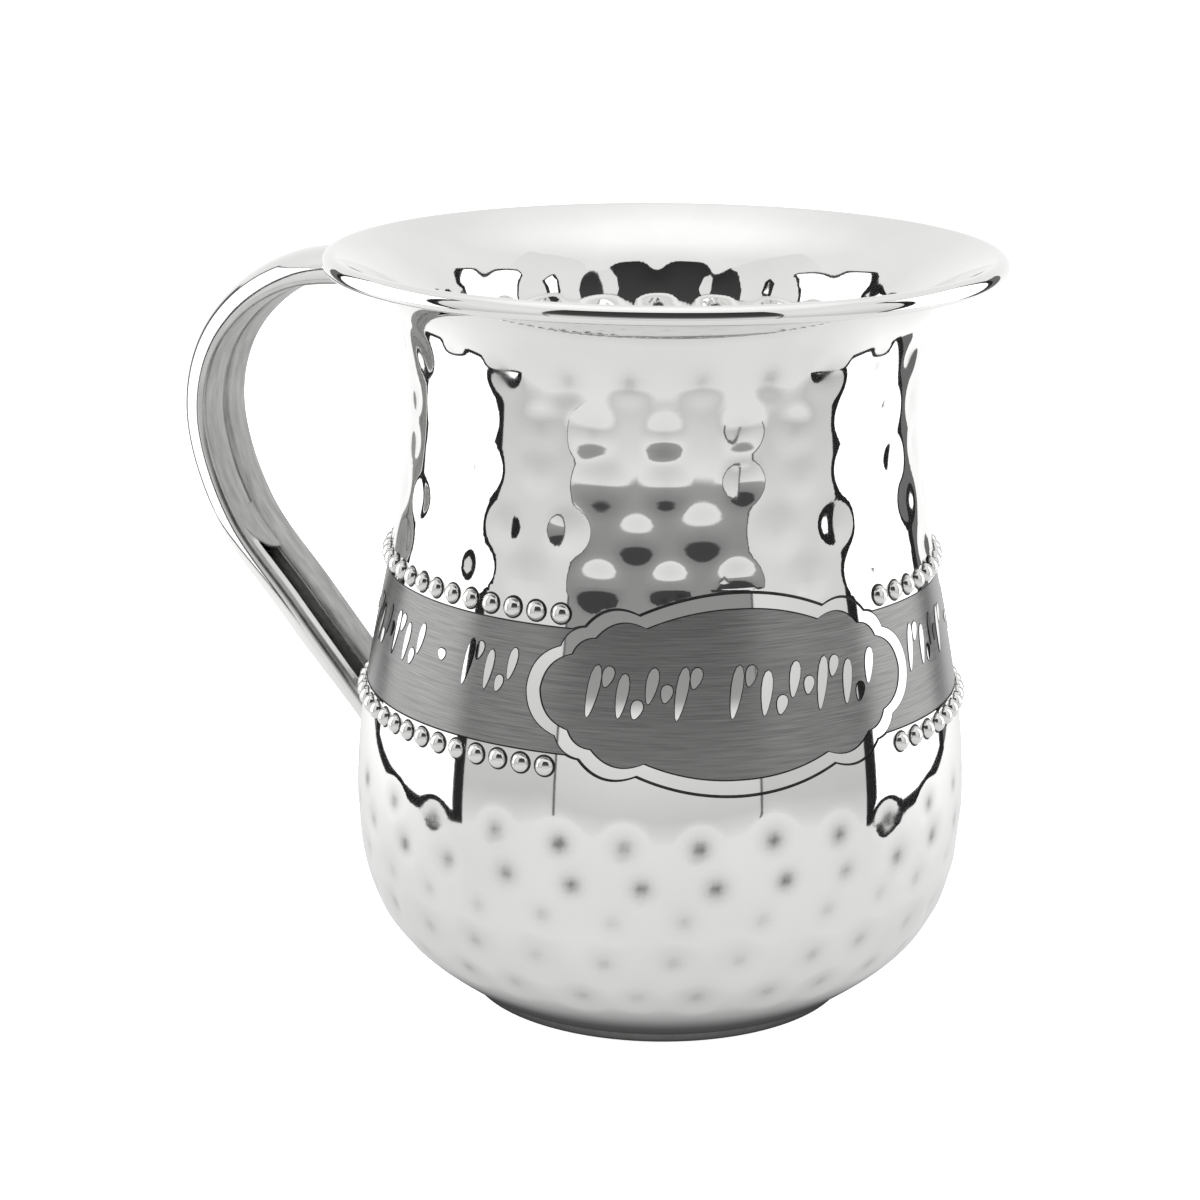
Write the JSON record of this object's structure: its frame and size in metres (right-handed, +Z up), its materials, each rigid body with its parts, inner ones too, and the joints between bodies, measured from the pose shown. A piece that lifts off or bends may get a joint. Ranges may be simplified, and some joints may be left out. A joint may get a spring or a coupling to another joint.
{
  "type": "ritual washing cup",
  "caption": "Polished steel washing cup with a flared rim, hammered belly and neck, etched belt with a scalloped panel between rows of beads, and a strap handle.",
  "frame": {"origin": "centre of the flat underside, on the axis of the cup", "axes": "+Z up along the cup's axis, -X towards the handle, the scalloped panel faces between +X and -Y"},
  "size_m": [0.1597, 0.1244, 0.1399],
  "materials": {
    "polished_steel": "mirror-polished stainless steel with shallow hammer marks",
    "satin_steel": "etched satin belt, brushed round the cup",
    "handle_steel": "polished strap outside, duller rolled face towards the cup"
  },
  "bodies": {
    "root": {"cup_body": "polished_steel", "handle": "handle_steel"}
  },
  "joints": []
}
